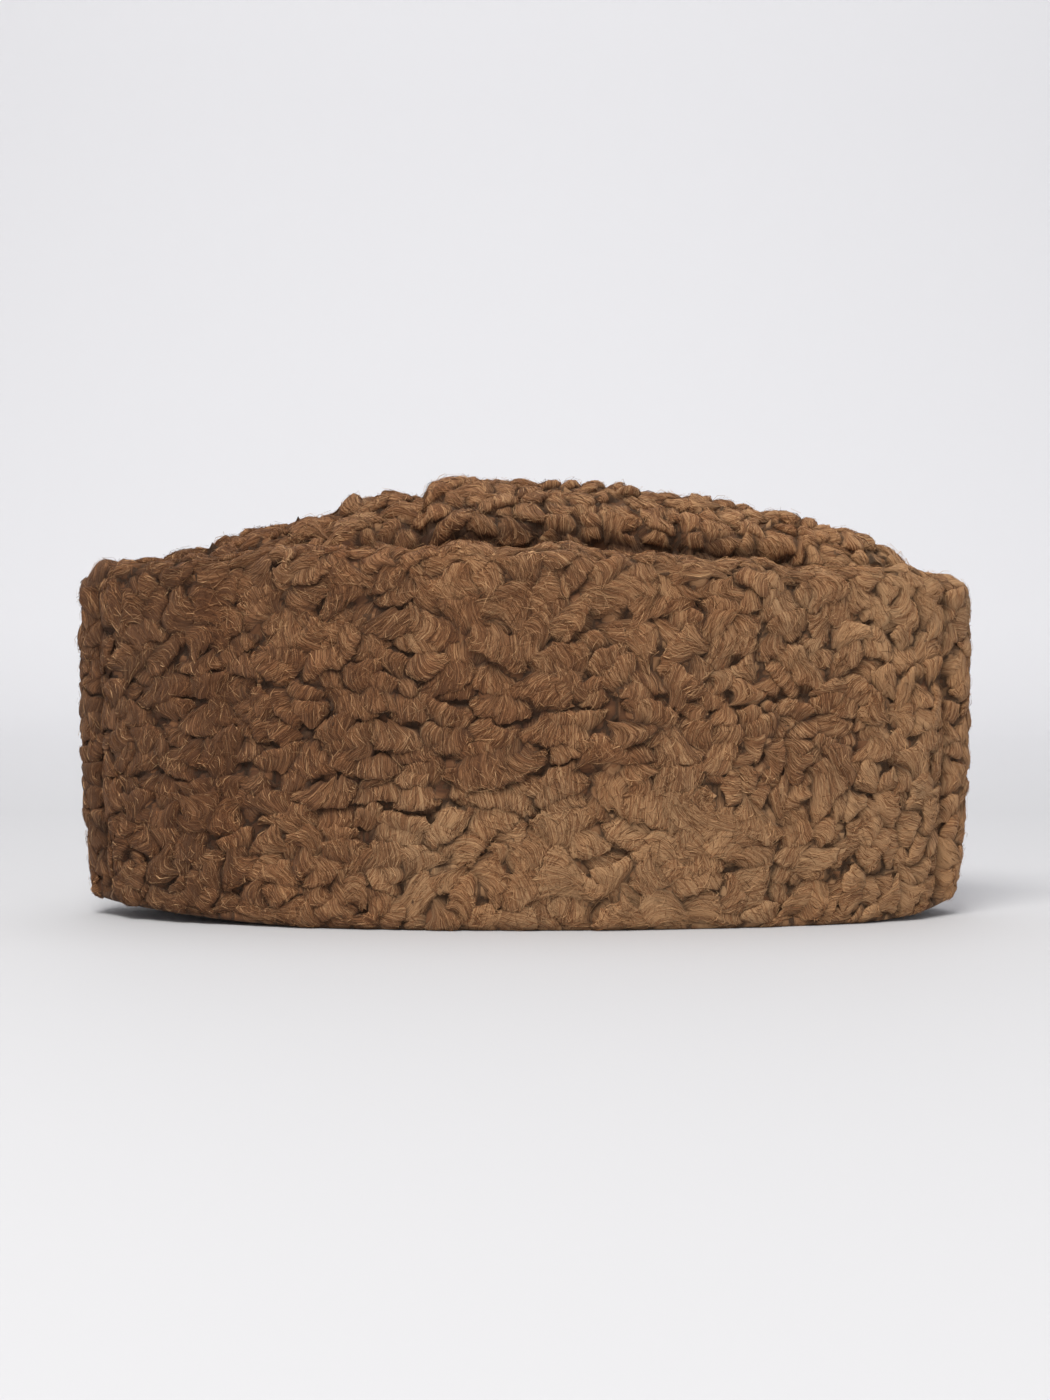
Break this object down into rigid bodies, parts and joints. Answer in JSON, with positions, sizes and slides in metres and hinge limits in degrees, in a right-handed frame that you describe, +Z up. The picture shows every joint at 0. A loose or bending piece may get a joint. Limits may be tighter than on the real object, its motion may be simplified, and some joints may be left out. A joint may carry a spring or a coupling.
{
  "type": "karakul cap",
  "caption": "Boat-shaped karakul lambskin cap, stored nearly folded, with rolled top edges and a crown folded into a ridge; open below for the head.",
  "frame": {"origin": "on the floor under the middle of the cap, which stands on its rim", "axes": "+X along the cap towards its front seam, +Y towards the wearer's left, +Z up"},
  "size_m": [0.2879, 0.0897, 0.1397],
  "materials": {
    "karakul_wool": "brown curled lamb's wool on the skin, dull with a soft sheen across the curls"
  },
  "bodies": {
    "root": {"right_side_panel": "karakul_wool", "left_side_panel": "karakul_wool", "crown": "karakul_wool"}
  },
  "joints": []
}
